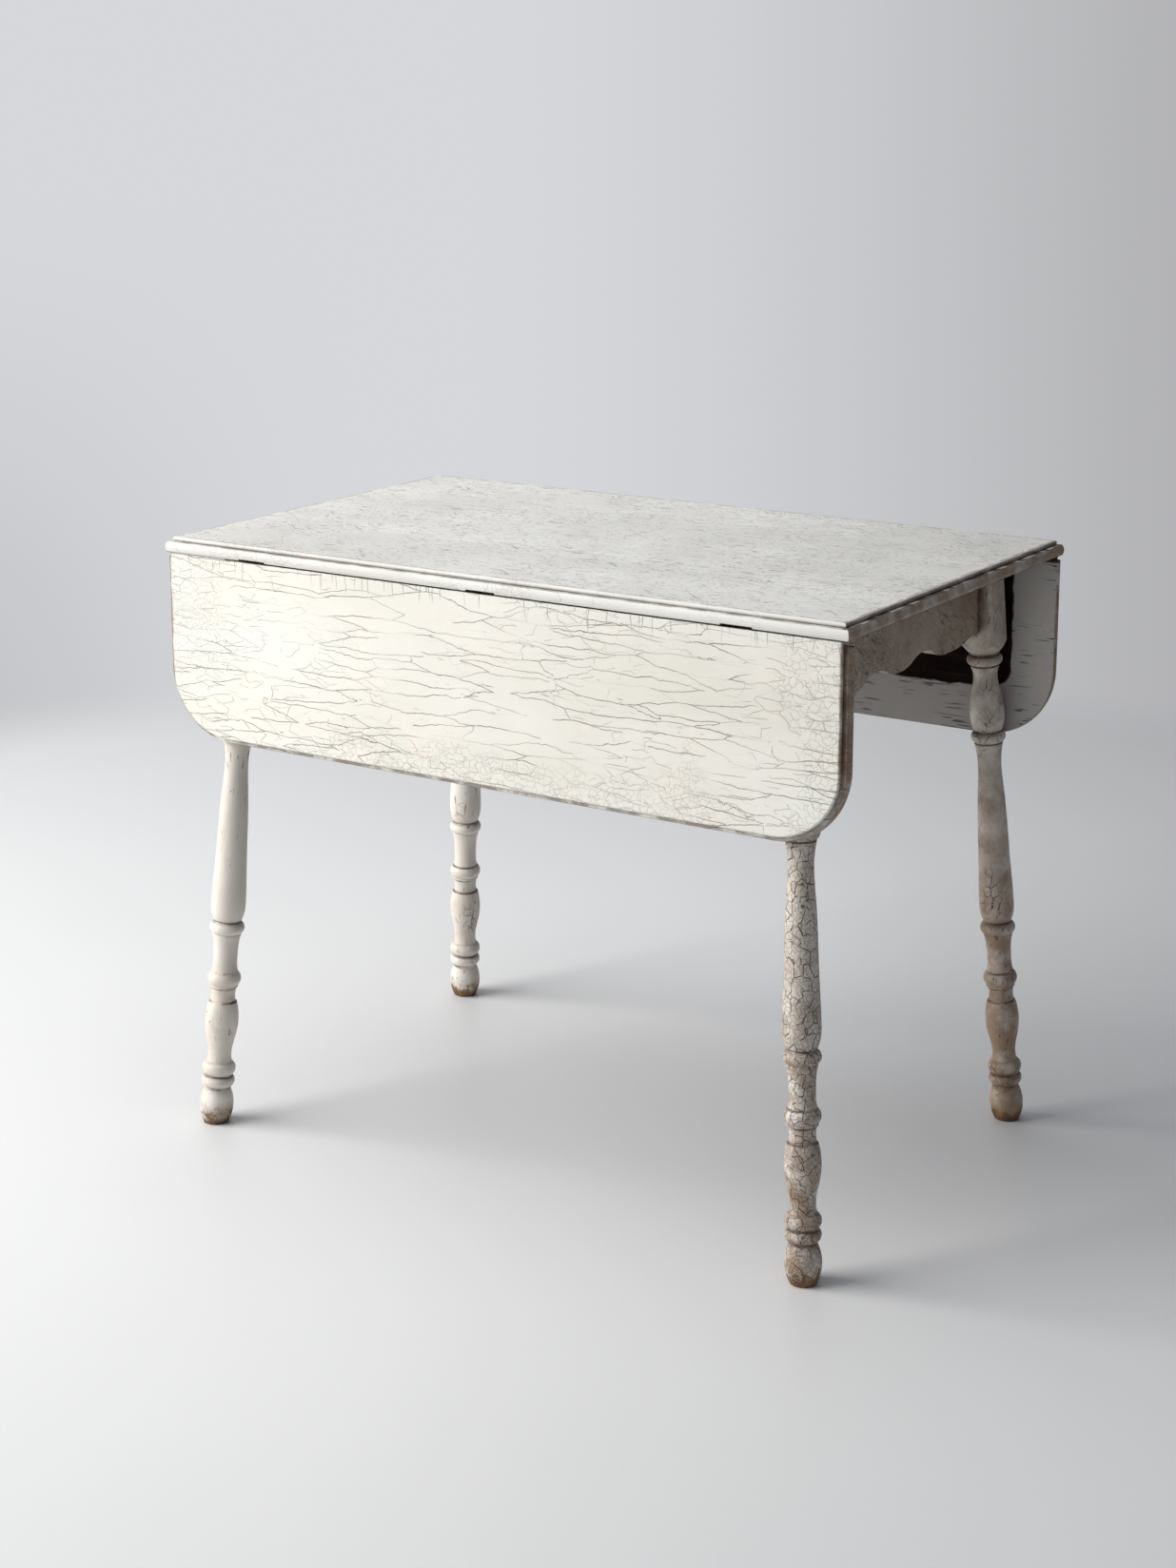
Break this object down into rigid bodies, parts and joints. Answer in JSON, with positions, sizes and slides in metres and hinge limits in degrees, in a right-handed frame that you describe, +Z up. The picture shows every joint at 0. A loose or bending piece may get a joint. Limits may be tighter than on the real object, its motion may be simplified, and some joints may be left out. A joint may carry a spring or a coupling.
{
  "type": "drop leaf table",
  "caption": "Rectangular drop leaf table on splayed turned legs, with moulded rule-jointed leaves, scrolled end aprons and fly brackets.",
  "frame": {"origin": "on the floor under the middle of the table top", "axes": "+X along the table's length, +Y from the front leaf to the back leaf, +Z up"},
  "size_m": [0.914, 0.5784, 0.737],
  "materials": {
    "top_paint": "old off-white paint, worn and dented, low sheen",
    "leaf_paint": "old off-white paint, crackled, low sheen",
    "leg_paint": "old off-white paint, crackled, dark in the grooves",
    "apron_paint": "old off-white paint, brushed, dull",
    "bare_wood": "dark aged bare wood, dull",
    "dark_iron": "dark iron with brown rust"
  },
  "bodies": {
    "frame": {"top_board_front": "top_paint", "top_board_middle": "top_paint", "top_board_back": "top_paint", "leg_front_left": "leg_paint", "leg_front_right": "leg_paint", "leg_back_left": "leg_paint", "leg_back_right": "leg_paint", "apron_left": "apron_paint", "apron_right": "apron_paint", "apron_front": "apron_paint", "apron_back": "apron_paint", "corner_block_front_left": "bare_wood", "corner_block_front_right": "bare_wood", "corner_block_back_left": "bare_wood", "corner_block_back_right": "bare_wood", "front_bracket_pin": "dark_iron", "front_left_hinge_fixed_plate": "dark_iron", "front_left_hinge_pin": "dark_iron", "front_middle_hinge_fixed_plate": "dark_iron", "front_middle_hinge_pin": "dark_iron", "front_right_hinge_fixed_plate": "dark_iron", "front_right_hinge_pin": "dark_iron", "front_hinge_top_screws": "dark_iron", "back_bracket_pin": "dark_iron", "back_left_hinge_fixed_plate": "dark_iron", "back_left_hinge_pin": "dark_iron", "back_middle_hinge_fixed_plate": "dark_iron", "back_middle_hinge_pin": "dark_iron", "back_right_hinge_fixed_plate": "dark_iron", "back_right_hinge_pin": "dark_iron", "back_hinge_top_screws": "dark_iron", "top_fixing_screws": "dark_iron"},
    "front_leaf": {"front_leaf": "leaf_paint", "front_left_hinge_leaf_plate": "dark_iron", "front_middle_hinge_leaf_plate": "dark_iron", "front_right_hinge_leaf_plate": "dark_iron", "front_hinge_leaf_screws": "dark_iron"},
    "front_bracket": {"front_fly_bracket": "bare_wood"},
    "back_leaf": {"back_leaf": "leaf_paint", "back_left_hinge_leaf_plate": "dark_iron", "back_middle_hinge_leaf_plate": "dark_iron", "back_right_hinge_leaf_plate": "dark_iron", "back_hinge_leaf_screws": "dark_iron"},
    "back_bracket": {"back_fly_bracket": "bare_wood"}
  },
  "joints": [
    {"name": "front_leaf_hinge", "type": "hinge", "parent": "frame", "child": "front_leaf", "pos_m": [0, -0.267, 0.7245], "axis": [-1, 0, 0], "range_deg": [0, 90]},
    {"name": "back_leaf_hinge", "type": "hinge", "parent": "frame", "child": "back_leaf", "pos_m": [0, 0.267, 0.7245], "axis": [1, 0, 0], "range_deg": [0, 90]},
    {"name": "front_bracket_pivot", "type": "hinge", "parent": "frame", "child": "front_bracket", "pos_m": [0.23, -0.228, 0.69], "axis": [0, 0, 1], "range_deg": [0, 6.5]},
    {"name": "back_bracket_pivot", "type": "hinge", "parent": "frame", "child": "back_bracket", "pos_m": [0.23, 0.228, 0.69], "axis": [0, 0, -1], "range_deg": [0, 6.5]}
  ]
}
